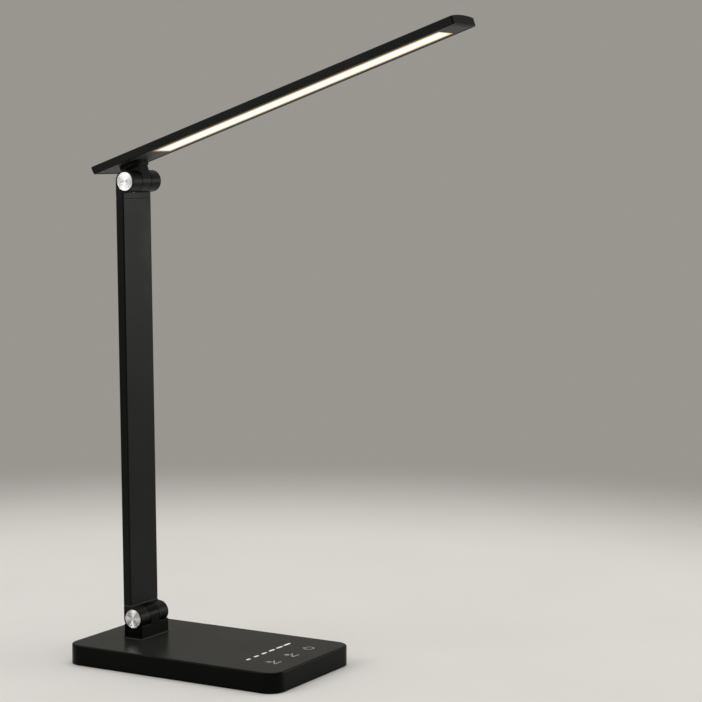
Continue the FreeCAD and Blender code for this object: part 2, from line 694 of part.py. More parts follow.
def make_fork(collar):
    """Two ears about the axis, above them a collar with the arm's outline, a narrow seam and a tongue."""
    tongue_foot = FORK_BASE + collar
    tongue_inset = ARM_WALL + TONGUE_GAP
    collar_block = arm_section(0, FORK_BASE, tongue_foot, ARM_EDGE_ROUND)
    seam = arm_section(TUBE_SEAM_DEPTH, FORK_BASE, tongue_foot + TUBE_SEAM, ARM_BORE_ROUND)
    tongue = arm_section(tongue_inset, FORK_BASE, tongue_foot + TONGUE_LENGTH, ARM_BORE_ROUND)
    fork = fused([make_ear(1), make_ear(-1), collar_block, seam, tongue])
    for side in SIDES:
        for cutter in ear_bores(side):
            fork = fork.cut(cutter)
    lead_hole = rod(LEAD_HOLE_RADIUS, Vec(ARM_MIDDLE, 0, 0), Z_AXIS, tongue_foot + TONGUE_LENGTH + OVERRUN)
    return fork.cut(lead_hole).cut(fork_screw_seats(tongue_foot + TONGUE_LENGTH / 2))


def make_apron():
    """Thin wall at the arm's back that hangs from the lower collar behind the knuckle."""
    return box(
        ARM_BACK, ARM_BACK + APRON_THICKNESS, -EAR_INNER, EAR_INNER, FORK_BASE - APRON_DROP, FORK_BASE
    )


LOWER_SCREWS_Z = LOWER_COLLAR_TOP + TONGUE_LENGTH / 2
UPPER_SCREWS_Z = UPPER_COLLAR_FOOT - TONGUE_LENGTH / 2


def make_arm_tube():
    outer = arm_section(0, TUBE_BOTTOM, TUBE_TOP, ARM_EDGE_ROUND)
    bore = arm_section(ARM_WALL, TUBE_BOTTOM - OVERRUN, TUBE_TOP + OVERRUN, ARM_BORE_ROUND)
    tube = outer.cut(bore)
    for z in (LOWER_SCREWS_Z, UPPER_SCREWS_Z):
        tube = tube.cut(fork_screw_seats(z))
    return tube


def make_fork_screws():
    one = turned(small_screw(FORK_SCREW_LENGTH, FORK_SCREW_HEAD_HEIGHT), Y_AXIS, 90)
    return at_places(one, fork_screw_places(LOWER_SCREWS_Z) + fork_screw_places(UPPER_SCREWS_Z))


def make_arm_lead():
    return rod(LEAD_RADIUS, Vec(ARM_MIDDLE, 0, FORK_BASE), Z_AXIS, AXIS_SPACING - 2 * FORK_BASE)


def heel_wedge():
    """What the rear end's slant takes away: the underside is shorter than the top by the heel."""
    height = HEAD_EDGE - HEAD_TOP_ROUND
    slant = HEAD_HEEL / height
    top = Vec(-HEAD_REAR - slant * OVERRUN, 0, height + OVERRUN)
    foot = Vec(HEAD_HEEL - HEAD_REAR + slant * OVERRUN, 0, -OVERRUN)
    outside = Vec(top.x, 0, foot.z)
    half = HEAD_WIDTH / 2 + OVERRUN
    return prism_along_y(polyline([top, foot, outside, top]), -half, half)


def make_bar():
    """The light bar's whole outer form, lying along X with its underside at z = 0."""
    half = HEAD_WIDTH / 2
    points = [Vec(0, half, HEAD_EDGE), Vec(0, half, 0), Vec(0, -half, 0), Vec(0, -half, HEAD_EDGE)]
    crown = Part.Arc(points[-1], Vec(0, 0, HEAD_EDGE + HEAD_CROWN), points[0]).toShape()
    face = Part.Face(Part.Wire(polyline(points) + [crown]))
    face.translate(X_AXIS * -HEAD_REAR)
    bar = face.extrude(X_AXIS * (HEAD_REAR + HEAD_FRONT))
    bar = bar.makeFillet(HEAD_CORNER_RADIUS, upright_edges(bar))
    bar = bar.makeFillet(HEAD_LOWER_ROUND, edges_at_height(bar, 0))
    bar = bar.makeFillet(HEAD_TOP_ROUND, top_edges(bar))
    return bar.cut(heel_wedge())


def top_edges(bar):
    """Edges round the crowned face."""
    crown = max(bar.Faces, key=lambda f: f.CenterOfMass.z)
    return crown.Edges


BAR = make_bar()
SHELL_REAR = END_CAP_LENGTH - HEAD_REAR
SHELL_FRONT = HEAD_FRONT - END_CAP_LENGTH


def bar_slice(x0, x1):
    half = HEAD_WIDTH / 2 + OVERRUN
    return BAR.common(box(x0, x1, -half, half, -OVERRUN, HEAD_EDGE + HEAD_CROWN + OVERRUN))


def make_head_shell():
    slab = bar_slice(SHELL_REAR, SHELL_FRONT)
    channel = box(
        SHELL_REAR - OVERRUN, SHELL_FRONT + OVERRUN, -CHANNEL_HALF, CHANNEL_HALF, -OVERRUN, ROOF
    )
    return slab.cut(channel)


def end_cap(x_outer, x_seam, direction):
    """End of the bar, with a tongue that plugs the channel above the underside plate."""
    x_face = x_seam + direction * END_CAP_GAP
    cap = bar_slice(min(x_outer, x_face), max(x_outer, x_face))
    x_tip = x_seam - direction * END_CAP_TONGUE
    half = CHANNEL_HALF - END_CAP_GAP
    tongue = box(
        min(x_tip, x_face), max(x_tip, x_face), -half, half, PLATE_TOP + END_CAP_GAP, ROOF - END_CAP_GAP
    )
    return fused([cap, tongue])


def make_underside_plate():
    half = CHANNEL_HALF - PLATE_GAP
    plate = box(SHELL_REAR, SHELL_FRONT, -half, half, PLATE_RECESS, PLATE_TOP)
    window = box(LIGHT_START, LIGHT_END, -LIGHT_HALF, LIGHT_HALF, -OVERRUN, PLATE_TOP + OVERRUN)
    lead_hole = rod(HEAD_LEAD_RADIUS + LEAD_GAP, Vec(0, 0, -OVERRUN), Z_AXIS, PLATE_TOP + 2 * OVERRUN)
    return plate.cut(window).cut(lead_hole).cut(bracket_screw_seats())


def make_diffuser():
    half = LIGHT_HALF - DIFFUSER_GAP
    return box(
        LIGHT_START + DIFFUSER_GAP, LIGHT_END - DIFFUSER_GAP, -half, half, PLATE_RECESS, PLATE_TOP
    )


def over_window(z0, z1):
    """A sheet that covers the window and laps over its edge."""
    return box(LIGHT_START - GUIDE_LAP, LIGHT_END + GUIDE_LAP, -GUIDE_HALF, GUIDE_HALF, z0, z1)


def make_light_guide():
    return over_window(PLATE_TOP, GUIDE_TOP)


def make_reflector_film():
    return over_window(GUIDE_TOP, GUIDE_TOP + REFLECTOR_THICKNESS)


def make_led_strips():
    """Boards on edge along both long sides of the light guide."""
    strip = box(LIGHT_START, LIGHT_END, STRIP_INNER, STRIP_OUTER, PLATE_TOP, GUIDE_TOP)
    return Part.makeCompound([strip, turned(strip, Z_AXIS, 180, X_AXIS * (LIGHT_START + LIGHT_END))])


def make_leds():
    """Rows of light-emitting chips on the strips, facing the guide's edges."""
    count = int((LIGHT_END - LIGHT_START) // LED_PITCH)
    first = (LIGHT_START + LIGHT_END - (count - 1) * LED_PITCH) / 2
    height = LED_HEIGHT_SHARE * (GUIDE_TOP - PLATE_TOP)
    foot = (PLATE_TOP + GUIDE_TOP - height) / 2
    half = LED_LENGTH / 2
    chips = []
    for i in range(count):
        x = first + i * LED_PITCH
        for y in (GUIDE_HALF + LED_GAP, -STRIP_INNER):
            chips.append(box(x - half, x + half, y, y + LED_THICKNESS, foot, foot + height))
    return Part.makeCompound(chips)


def bracket_screw_places():
    return [Vec(0, s * BRACKET_SCREW_SPREAD / 2, PLATE_TOP + SCREW_HEAD_HEIGHT) for s in SIDES]


def bracket_screw_seats():
    return at_places(turned(small_seat(BRACKET_SCREW_LENGTH), X_AXIS, 180), bracket_screw_places())


def make_bracket_screws():
    return at_places(turned(small_screw(BRACKET_SCREW_LENGTH), X_AXIS, 180), bracket_screw_places())


def make_head_bracket():
    """Centre knuckle of the upper hinge, its neck and the boss under the bar, with the underside at z = 0."""
    half_knuckle = KNUCKLE_LENGTH / 2
    neck = prism_along_y(knuckle_outline(HEAD_DROP - BOSS_HEIGHT), -half_knuckle, half_knuckle)
    neck = turned(neck.cut(knuckle_holes()), X_AXIS, 180, Z_AXIS * -HEAD_DROP)
    half_length = BOSS_LENGTH / 2
    half_width = BOSS_WIDTH / 2
    boss = rounded_slab(
        -half_length, half_length, -half_width, half_width, -BOSS_HEIGHT, PLATE_RECESS, BOSS_CORNER_RADIUS
    )
    boss = boss.makeFillet(BOSS_EDGE_ROUND, edges_at_height(boss, -BOSS_HEIGHT))
    hole_foot = Vec(0, 0, -HEAD_DROP - BARREL_RADIUS - OVERRUN)
    lead_hole = rod(HEAD_LEAD_RADIUS + LEAD_GAP, hole_foot, Z_AXIS, PLATE_RECESS - hole_foot.z + OVERRUN)
    return fused([neck, boss]).cut(lead_hole).cut(bracket_screw_seats())


def make_head_lead():
    """Up through the bracket into the bar, then forward to the light guide."""
    run = PLATE_TOP + HEAD_LEAD_RADIUS + LEAD_GAP
    points = [Vec(0, 0, -HEAD_DROP), Vec(0, 0, run), Vec(LIGHT_START - GUIDE_LAP - LEAD_GAP, 0, run)]
    return lead(points, HEAD_LEAD_RADIUS, HEAD_LEAD_BEND)


LOWER_AXIS = Vec(HINGE_X, 0, LOWER_AXIS_HEIGHT)
ARM_LEAN = math.radians(ARM_LEAN_DEG)
UPPER_AXIS = LOWER_AXIS + Vec(math.sin(ARM_LEAN), 0, math.cos(ARM_LEAN)) * AXIS_SPACING


def on_arm(shape):
    """From the arm's own frame, upright on the lower axis, to the lamp."""
    return turned(shape, Y_AXIS, ARM_LEAN_DEG, LOWER_AXIS)


def at_upper_axis(shape):
    """From a frame about the upper axis, square to the arm, to the lamp."""
    return on_arm(shape.translated(Z_AXIS * AXIS_SPACING))


def on_head(shape):
    """From the bar's own frame, its underside at z = 0, to the lamp."""
    return turned(shape.translated(Z_AXIS * HEAD_DROP), Y_AXIS, -HEAD_RISE_DEG, UPPER_AXIS)


BASE_NODES = {
    "base_housing": make_base_housing(),
    "base_cover": make_base_cover(),
    "non_slip_pad": make_non_slip_pad(),
    "cover_screws": at_places(small_screw(COVER_SCREW_LENGTH), cover_screw_places(HEADS_Z)),
    "base_weight": make_base_weight(),
    "weight_screws": at_places(small_screw(WEIGHT_SCREW_LENGTH), weight_screw_places(HEADS_Z)),
    "control_board": make_control_board(),
    "board_parts": make_board_parts(),
    "board_screws": at_places(small_screw(BOARD_SCREW_LENGTH), board_screw_places(BOARD_HEADS_Z)),
    "key_foams": make_key_foams(),
    "slider_foam": make_slider_foam(),
    "inlet_plate": make_inlet_plate(),
    "dc_jack": make_dc_jack(),
    "dc_jack_pin": make_dc_jack_pin(),
    "power_lead": make_power_lead(),
    "lamp_lead": make_lamp_lead(),
    "pedestal": make_pedestal(),
    "pedestal_screws": make_pedestal_screws(),
    "lower_hinge_screws": make_hinge_screws().translated(LOWER_AXIS),
    "lower_washers": make_washers().translated(LOWER_AXIS),
}

ARM_NODES = {
    "arm_tube": on_arm(make_arm_tube()),
    "lower_fork": on_arm(fused([make_fork(LOWER_COLLAR), make_apron()])),
    "upper_fork": at_upper_axis(turned(make_fork(UPPER_COLLAR), X_AXIS, 180)),
    "fork_screws": on_arm(make_fork_screws()),
    "arm_lead": on_arm(make_arm_lead()),
    "lower_bushes": on_arm(make_bushes()),
    "upper_bushes": at_upper_axis(make_bushes()),
    "lower_caps": on_arm(make_hinge_caps()),
    "upper_caps": at_upper_axis(make_hinge_caps()),
}

HEAD_NODES = {
    "upper_hinge_screws": on_head(make_hinge_screws().translated(Z_AXIS * -HEAD_DROP)),
    "upper_washers": on_head(make_washers().translated(Z_AXIS * -HEAD_DROP)),
    "head_bracket": on_head(make_head_bracket()),
    "bracket_screws": on_head(make_bracket_screws()),
    "head_shell": on_head(make_head_shell()),
    "head_front_cap": on_head(end_cap(HEAD_FRONT + OVERRUN, SHELL_FRONT, 1)),
    "head_rear_cap": on_head(end_cap(-HEAD_REAR - OVERRUN, SHELL_REAR, -1)),
    "underside_plate": on_head(make_underside_plate()),
    "diffuser": on_head(make_diffuser()),
    "light_guide": on_head(make_light_guide()),
    "reflector_film": on_head(make_reflector_film()),
    "led_strips": on_head(make_led_strips()),
    "leds": on_head(make_leds()),
    "head_lead": on_head(make_head_lead()),
}

os.makedirs("parts", exist_ok=True)
for nodes in (BASE_NODES, ARM_NODES, HEAD_NODES):
    for name, shape in nodes.items():
        shape.exportStep("parts/" + name + ".step")
        state = "valid" if shape.isValid() else "INVALID"
        print(name, len(shape.Solids), "solids", round(shape.Volume), "mm3", state)
print("upper axis", [round(v, 3) for v in UPPER_AXIS])
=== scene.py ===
import json
import math
from collections import namedtuple

import bmesh
import bpy
from mathutils import Matrix, Vector


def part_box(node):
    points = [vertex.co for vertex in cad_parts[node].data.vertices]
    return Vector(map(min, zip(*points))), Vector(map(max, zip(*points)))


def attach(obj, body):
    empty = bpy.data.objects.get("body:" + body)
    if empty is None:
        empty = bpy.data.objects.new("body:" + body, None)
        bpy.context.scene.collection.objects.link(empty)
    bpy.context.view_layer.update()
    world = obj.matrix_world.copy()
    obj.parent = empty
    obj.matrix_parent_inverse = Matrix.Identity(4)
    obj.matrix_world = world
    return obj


# Looks of a folding LED table lamp: finishes of every solid, the printed touch marks and the studio.
# Metres, in the frame of the solids: +X towards the touch marks, +Z up, both hinge axes along Y.

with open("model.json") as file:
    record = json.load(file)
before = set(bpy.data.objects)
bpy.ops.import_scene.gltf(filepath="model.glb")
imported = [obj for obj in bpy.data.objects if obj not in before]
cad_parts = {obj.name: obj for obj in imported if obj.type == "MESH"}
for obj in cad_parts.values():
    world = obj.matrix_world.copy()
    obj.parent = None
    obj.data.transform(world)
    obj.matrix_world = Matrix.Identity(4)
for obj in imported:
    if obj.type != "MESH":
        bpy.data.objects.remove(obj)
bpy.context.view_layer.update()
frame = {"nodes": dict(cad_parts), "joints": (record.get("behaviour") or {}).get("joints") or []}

MM = 0.001
BASE_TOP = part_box("base_housing")[1].z
TUBE_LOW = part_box("arm_tube")[0].z
TUBE_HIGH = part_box("arm_tube")[1].z
DIFFUSER_LOW, DIFFUSER_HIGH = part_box("diffuser")
HINGES = {joint["name"]: Vector(joint["pos_m"]) for joint in frame["joints"]}
LOWER_AXIS = HINGES["arm_tilt"]
UPPER_AXIS = HINGES["head_tilt"]
HEAD_RISE = math.radians(18.8)

# Blacks of the base and its pedestal, with painted light on the base's top and a painted highlight at the
# pedestal's foot
BASE_BLACK = (0.0014, 0.0016, 0.0013)
# Painted light: the base's top is coloured much lighter than its sides, as the top catches more light than
# they do
TOP_PAINTED_LIGHT = (0.0135, 0.0148, 0.012)
PEDESTAL_BLACK = (0.0018, 0.002, 0.0018)
# Painted highlight: a pale line at the pedestal's foot, where its lip catches the light
LIP_PAINTED_HIGHLIGHT = (0.04, 0.04, 0.039)

# Blacks of the arm and the light bar, with painted highlights at the tube's upper edge and the lower collar
# and painted shade in the upper seam
ARM_BLACK = (0.0047, 0.0052, 0.0045)
# Painted highlight: a lighter line along the tube's upper edge, under the seam
EDGE_PAINTED_HIGHLIGHT = (0.014, 0.0145, 0.014)
# Painted highlight: a light ledge line on the lower fork's collar, just under the tube
COLLAR_PAINTED_HIGHLIGHT = (0.04, 0.041, 0.041)
UPPER_FORK_BLACK = (0.0075, 0.008, 0.0085)
# Painted shade: the upper seam's groove is coloured near black for the shade that falls in it, and made
# rougher
SEAM_PAINTED_SHADE = (0.0005, 0.0005, 0.0005)
BRACKET_BLACK = (0.012, 0.0125, 0.0115)
PLATE_BLACK = (0.03, 0.03, 0.028)

# Other colours
COVER_BLACK = (0.016, 0.016, 0.016)
JACK_BLACK = (0.012, 0.012, 0.012)
CHIP_BLACK = (0.014, 0.014, 0.014)
NYLON_BLACK = (0.01, 0.01, 0.01)
PAD_BLACK = (0.02, 0.02, 0.02)
LEAD_BLACK = (0.015, 0.015, 0.015)
FOAM_GREY = (0.1, 0.1, 0.105)
DISC_METAL = (0.97, 0.965, 0.95)
STEEL = (0.5, 0.5, 0.51)
BLACKENED_STEEL = (0.09, 0.09, 0.095)
BRIGHT_STEEL = (0.6, 0.6, 0.61)
BRASS = (0.72, 0.52, 0.24)
NICKEL = (0.75, 0.72, 0.62)
BOARD_GREEN = (0.01, 0.07, 0.025)
STRIP_WHITE = (0.5, 0.5, 0.48)
PHOSPHOR_YELLOW = (0.85, 0.6, 0.12)
FILM_WHITE = (0.85, 0.85, 0.84)
ACRYLIC_CLEAR = (0.9, 0.92, 0.92)
FROST_WHITE = (0.5, 0.49, 0.46)
DASH_WHITE = (0.86, 0.87, 0.85)
KEY_GREY = (0.36, 0.37, 0.35)

# Bands of painted light and shade: base's top painted lighter, painted highlights at the pedestal's foot, the
# tube's upper edge and the lower collar, painted shade in the upper seam
BAND_EDGE = 0.15 * MM
TOP_BAND = 0.1 * MM
LIP_HEIGHT = 0.8 * MM
EDGE_BAND = 0.7 * MM
COLLAR_BAND = 1.2 * MM
SEAM_BAND = 0.4 * MM

# Glow of the diffuser: its colours from the edge inwards, and how far in each is reached
GLOW_DIM = (0.05, 0.02, 0.003)
GLOW_WARM = (0.72, 0.42, 0.08)
GLOW_WHITE = (0.945, 0.95, 0.93)
GLOW_DIM_DEPTH = 0.2 * MM
GLOW_WARM_DEPTH = 2.6 * MM
GLOW_WHITE_DEPTH = 5.2 * MM
GLOW_REAR_MARGIN = 1.4 * MM
GLOW_REAR_STEEPNESS = 2.2
GLOW_FRONT_STEEPNESS = 2.6

# Printed marks on the base's top
INK_PROUD = 0.02 * MM
INK_SINK = 0.02 * MM
INK_HEIGHT = INK_PROUD + INK_SINK
INK_FOOT = BASE_TOP - INK_SINK
DASH_X = 48.0 * MM
DASH_COUNT = 6
DASH_FIRST_Y = -24.3 * MM
DASH_PITCH = 9.76 * MM
DASH_FIRST_LENGTH = 4.5 * MM
DASH_LAST_LENGTH = 8.4 * MM
DASH_WIDTH = 2.05 * MM
KEY_X = 66.5 * MM
KEY_PITCH = 22.8 * MM
LINE_WIDTH = 0.9 * MM
SUN_RADIUS = 1.5 * MM
SUN_RAY_START = 1.9 * MM
SUN_RAY_LENGTH = 0.8 * MM
SUN_RAY_WIDTH = 0.5 * MM
SUN_RAYS = 8
SUN_LIFT = 2.8 * MM
SUN_ASIDE = 0.6 * MM
WEDGE_TOP = 1.9 * MM
WEDGE_FOOT = 3.6 * MM
WEDGE_HALF = 4.2 * MM
POWER_RADIUS = 3.5 * MM
POWER_GAP = math.radians(38)
POWER_STROKE_START = 1.35 * POWER_RADIUS
POWER_STROKE_END = 0.25 * POWER_RADIUS
CIRCLE_POINTS = 40
ARC_POINTS = 31
BAR_CORNER_SHARE = 0.48
BAR_CORNER_POINTS = 5
BAR_MERGE = INK_SINK / 10

# Camera, from the photo's own perspective
CAMERA_PLACE = Vector((0.795987, -1.179241, 0.354362))
CAMERA_YAW = math.radians(30.075)
CAMERA_PITCH = math.radians(5.537)
CAMERA_LENS = 107.476
CAMERA_SENSOR = 36.0

# Studio: a round floor that fades out, a sky brighter overhead and away from the viewer, and soft lights
FLOOR_RADIUS = 1.0
FLOOR_SIDES = 96
FLOOR_FADE_START = 0.45
FLOOR_FADE_END = 0.95
FLOOR_DARK = (0.68, 0.66, 0.63)
FLOOR_PALE = (0.72, 0.7, 0.67)
AWAY_X = -0.55
AWAY_Y = 0.83
NEAR_GREY = (0.09, 0.09, 0.084)
NEAR_END = -1.0
FAR_GREY = (0.32, 0.302, 0.278)
FAR_START = 0.9
OVERHEAD_GREY = (0.7, 0.7, 0.69)
OVERHEAD_LOW = 0.3
OVERHEAD_HIGH = 0.9
LIGHTS = [
    {
        "name": "overhead", "place": (0.2, 0.2, 2.0), "target": (0.05, 0.0, 0.0),
        "size": (1.6, 1.6), "power": 16.0, "colour": (1.0, 1.0, 1.0),
    },
    {
        "name": "side", "place": (1.08, 1.12, 0.38), "target": (0.0, 0.0, 0.25),
        "size": (0.75, 0.6), "power": 5.0, "colour": (1.0, 1.0, 0.93),
    },
    {
        "name": "front", "place": (-0.76, -1.05, 0.86), "target": (-0.05, 0.0, 0.2),
        "size": (1.0, 1.1), "power": 7.6, "colour": (1.0, 1.0, 1.0),
    },
]


# Shader trees

class Value:
    """A node's output that can stand in a sum: each operation adds a Math node."""

    def __init__(self, nodes, socket):
        self.nodes = nodes
        self.socket = socket

    def __add__(self, other):
        return self.nodes.math("ADD", self, other)

    def __radd__(self, other):
        return self.nodes.math("ADD", other, self)

    def __sub__(self, other):
        return self.nodes.math("SUBTRACT", self, other)

    def __rsub__(self, other):
        return self.nodes.math("SUBTRACT", other, self)

    def __mul__(self, other):
        return self.nodes.math("MULTIPLY", self, other)

    def __rmul__(self, other):
        return self.nodes.math("MULTIPLY", other, self)

    def __truediv__(self, other):
        return self.nodes.math("DIVIDE", self, other)

    def __rtruediv__(self, other):
        return self.nodes.math("DIVIDE", other, self)


class Nodes:
    """A shader tree, filled node by node."""

    def __init__(self, tree):
        self.tree = tree
        tree.nodes.clear()

    def add(self, kind, settings=None, inputs=None, output=0):
        """A node with its settings, then the values or links of its sockets; gives one of its outputs."""
        node = self.tree.nodes.new("ShaderNode" + kind)
        for key, value in (settings or {}).items():
            setattr(node, key, value)
        for key, value in (inputs or {}).items():
            if isinstance(value, Value):
                self.tree.links.new(value.socket, node.inputs[key])
            else:
                node.inputs[key].default_value = value
        return Value(self, node.outputs[output]) if node.outputs else None

    def math(self, operation, *values):
        return self.add("Math", {"operation": operation}, dict(enumerate(values)))

    def vector(self, operation, *values):
        return self.add("VectorMath", {"operation": operation}, dict(enumerate(values)))

    def parts(self, vector):
        """The three components of a vector."""
        return [self.add("SeparateXYZ", inputs={0: vector}, output=axis) for axis in "XYZ"]

    def place(self):
        return self.add("TexCoord", output="Object")

    def noise(self, place, size, detail=2.0):
        """Noise from 0 to 1 whose features are about as large as a size in metres."""
        return self.add("TexNoise", inputs={"Vector": place, "Scale": 1.0 / size, "Detail": detail})

    def step(self, value, start, end, low=0.0, high=1.0):
        """A smooth step: low up to the start and high from the end on."""
        inputs = {0: value, 1: start, 2: end, 3: low, 4: high}
        return self.add("MapRange", {"interpolation_type": "SMOOTHSTEP"}, inputs)

    def mix(self, share, first, second):
        """A colour between two colours."""
        return self.add("Mix", {"data_type": "RGBA"}, {0: share, 6: first, 7: second}, 2)

    def bump(self, height, distance):
        return self.add("Bump", inputs={"Height": height, "Distance": distance})

    def surface(self, inputs):
        """Ends the tree in a Principled shader."""
        shader = self.add("BsdfPrincipled", inputs=inputs)
        self.add("OutputMaterial", inputs={"Surface": shader})


def new_material(name):
    material = bpy.data.materials.new(name)
    material.use_nodes = True
    return material, Nodes(material.node_tree)


def shade(colour, factor=1.0):
    """A colour made darker or lighter, as a socket takes it."""
    return (*[c * factor for c in colour], 1.0)


# Finishes

Band = namedtuple("Band", "low high colour rougher", defaults=[0.0])


def moulded(name, colour, roughness, grain=0.25 * MM, depth=0.01 * MM, specular=0.5, band=None):
    """Moulded or coated surface: a fine even grain, and faint marks of handling in its gloss.

    A band has another colour, which paints light or shade on the part, and may be rougher, between two
    heights.
    """
    mark_size = 30 * MM
    mark_start = 0.45
    mark_end = 0.75
    mark_tone = 1.25
    mark_gloss = 0.05
    grain_gloss = 0.08
    material, nodes = new_material(name)
    place = nodes.place()
    fine = nodes.noise(place, grain)
    broad = nodes.noise(place, mark_size, 4.0)
    marks = nodes.step(broad, mark_start, mark_end)
    tone = nodes.mix(marks, shade(colour), shade(colour, mark_tone))
    gloss = roughness - mark_gloss * marks + grain_gloss * (fine - 0.5)
    # The band paints light or shade: another colour between two heights
    if band:
        height = nodes.parts(place)[2]
        above_low = nodes.step(height, band.low - BAND_EDGE, band.low)
        below_high = nodes.step(height, band.high, band.high + BAND_EDGE, 1.0, 0.0)
        inside = above_low * below_high
        tone = nodes.mix(inside, tone, shade(band.colour))
        gloss = gloss + band.rougher * inside
    nodes.surface({
        "Base Color": tone,
        "Roughness": gloss,
        "Specular IOR Level": specular,
        "Normal": nodes.bump(fine, depth),
    })
    return material


def base_satin(name, colour, band):
    """The finish of the base and its pedestal."""
    return moulded(name, colour, roughness=0.26, depth=0.003 * MM, specular=0.06, band=band)


def arm_satin(name, colour, band=None):
    """The finish of the arm and the light bar."""
    return moulded(name, colour, roughness=0.38, grain=0.2 * MM, depth=0.005 * MM, specular=0.11, band=band)


def turned_metal(name, colour, roughness, grain=0.3 * MM):
    """Plain metal with fine tool marks and a little dulling."""
    dull_size = 6 * MM
    dull_tone = 0.85
    dull_gloss = 0.2
    mark_depth = 0.004 * MM
    material, nodes = new_material(name)
    place = nodes.place()
    fine = nodes.noise(place, grain, 3.0)
    broad = nodes.noise(place, dull_size, 3.0)
    nodes.surface({
        "Base Color": nodes.mix(broad, shade(colour, dull_tone), shade(colour)),
        "Metallic": 1.0,
        "Roughness": roughness + dull_gloss * (broad - 0.5),
        "Normal": nodes.bump(fine, mark_depth),
    })
    return material


def spun_metal(name, axis, brightness, lean, roughness):
    """Bright disc whose fine rings about a hinge axis lean in and out, so that its shine gathers in lobes."""
    ring_pitch = 0.24 * MM
    wobble_size = 2.0 * MM
    wobble_depth = 0.4 * ring_pitch
    scuff_size = 3.0 * MM
    scuff_tone = 0.95
    scuff_gloss = 0.06
    material, nodes = new_material(name)
    place = nodes.place()
    x, _, z = nodes.parts(place)
    along = x - axis.x
    up = z - axis.z
    radius = nodes.math("SQRT", along * along + up * up)
    wobble = nodes.noise(place, wobble_size) * wobble_depth
    wave = nodes.math("PINGPONG", radius + wobble, ring_pitch / 2) * (4 / ring_pitch) - 1.0
    tilt = wave * lean / radius
    outward = nodes.add("CombineXYZ", inputs={0: along * tilt, 1: 0.0, 2: up * tilt})
    turn = {"vector_type": "VECTOR", "convert_from": "OBJECT", "convert_to": "WORLD"}
    outward = nodes.add("VectorTransform", turn, {0: outward})
    normal = nodes.add("NewGeometry", output="Normal")
    scuffs = nodes.noise(place, scuff_size, 3.0)
    bright = shade(DISC_METAL, brightness)
    scuffed = shade(DISC_METAL, scuff_tone * brightness)
    nodes.surface({
        "Base Color": nodes.mix(scuffs, bright, scuffed),
        "Metallic": 1.0,
        "Roughness": roughness + scuff_gloss * scuffs,
        "Normal": nodes.vector("NORMALIZE", nodes.vector("ADD", normal, outward)),
    })
    return material


def along_head(x, z):
    """How far along the light bar, from the upper hinge, a place lies: for numbers and for node values."""
    return (x - UPPER_AXIS.x) * math.cos(HEAD_RISE) + (z - UPPER_AXIS.z) * math.sin(HEAD_RISE)


def glowing_diffuser(name):
    """Frosted strip lit from behind: white, warm towards its edges and dim right at them."""
    frost_grain = 0.2 * MM
    frost_depth = 0.004 * MM
    material, nodes = new_material(name)
    place = nodes.place()
    x, y, z = nodes.parts(place)
    run = along_head(x, z)
    rear = along_head(DIFFUSER_LOW.x, DIFFUSER_LOW.z) + GLOW_REAR_MARGIN
    front = along_head(DIFFUSER_HIGH.x, DIFFUSER_HIGH.z)
    from_side = DIFFUSER_HIGH.y - nodes.math("ABSOLUTE", y)
    from_rear = GLOW_REAR_STEEPNESS * (run - rear)
    from_front = GLOW_FRONT_STEEPNESS * (front - run)
    inward = nodes.math("MINIMUM", from_side, nodes.math("MINIMUM", from_rear, from_front))
    warm = nodes.step(inward, GLOW_DIM_DEPTH, GLOW_WARM_DEPTH)
    white = nodes.step(inward, GLOW_WARM_DEPTH, GLOW_WHITE_DEPTH)
    edge = nodes.mix(warm, shade(GLOW_DIM), shade(GLOW_WARM))
    frost = nodes.noise(place, frost_grain)
    nodes.surface({
        "Base Color": shade(FROST_WHITE),
        "Roughness": 0.45 + 0.1 * frost,
        "Specular IOR Level": 0.3,
        "Emission Color": nodes.mix(white, edge, shade(GLOW_WHITE)),
        "Emission Strength": 1.0,
        "Normal": nodes.bump(frost, frost_depth),
    })
    return material


def circuit_board(name, colour):
    """Lacquered board: fine tracks show through as a paler weave of lines."""
    tracks_per_metre = 220.0
    track_width = 0.03
    track_depth = 0.02 * MM
    track_tone = 1.8
    cloud_size = 4 * MM
    cloud_start = 0.4
    cloud_end = 0.6
    material, nodes = new_material(name)
    place = nodes.place()
    weave = {"Vector": place, "Scale": tracks_per_metre, "Mortar Size": track_width}
    tracks = nodes.add("TexBrick", inputs=weave, output="Fac")
    cloud = nodes.noise(place, cloud_size)
    paler = tracks * nodes.step(cloud, cloud_start, cloud_end)
    nodes.surface({
        "Base Color": nodes.mix(paler, shade(colour), shade(colour, track_tone)),
        "Roughness": 0.3 + 0.1 * cloud,
        "Normal": nodes.bump(tracks, track_depth),
    })
    return material


def rubber(name, colour, grain):
    """Matte rubber or foam with an open grain."""
    material, nodes = new_material(name)
    place = nodes.place()
    fine = nodes.noise(place, grain, 4.0)
    nodes.surface({
        "Base Color": nodes.mix(fine, shade(colour, 0.8), shade(colour, 1.2)),
        "Roughness": 0.75 + 0.2 * fine,
        "Specular IOR Level": 0.3,
        "Normal": nodes.bump(fine, grain / 4),
    })
    return material


def clear_sheet(name, colour, roughness):
    """Acrylic sheet, a little milky."""
    dot_size = 0.6 * MM
    dot_depth = 0.004 * MM
    material, nodes = new_material(name)
    place = nodes.place()
    dots = nodes.noise(place, dot_size)
    nodes.surface({
        "Base Color": nodes.mix(dots, shade(colour, 0.95), shade(colour)),
        "Roughness": roughness + 0.1 * dots,
        "Transmission Weight": 0.6,
        "Normal": nodes.bump(dots, dot_depth),
    })
    return material


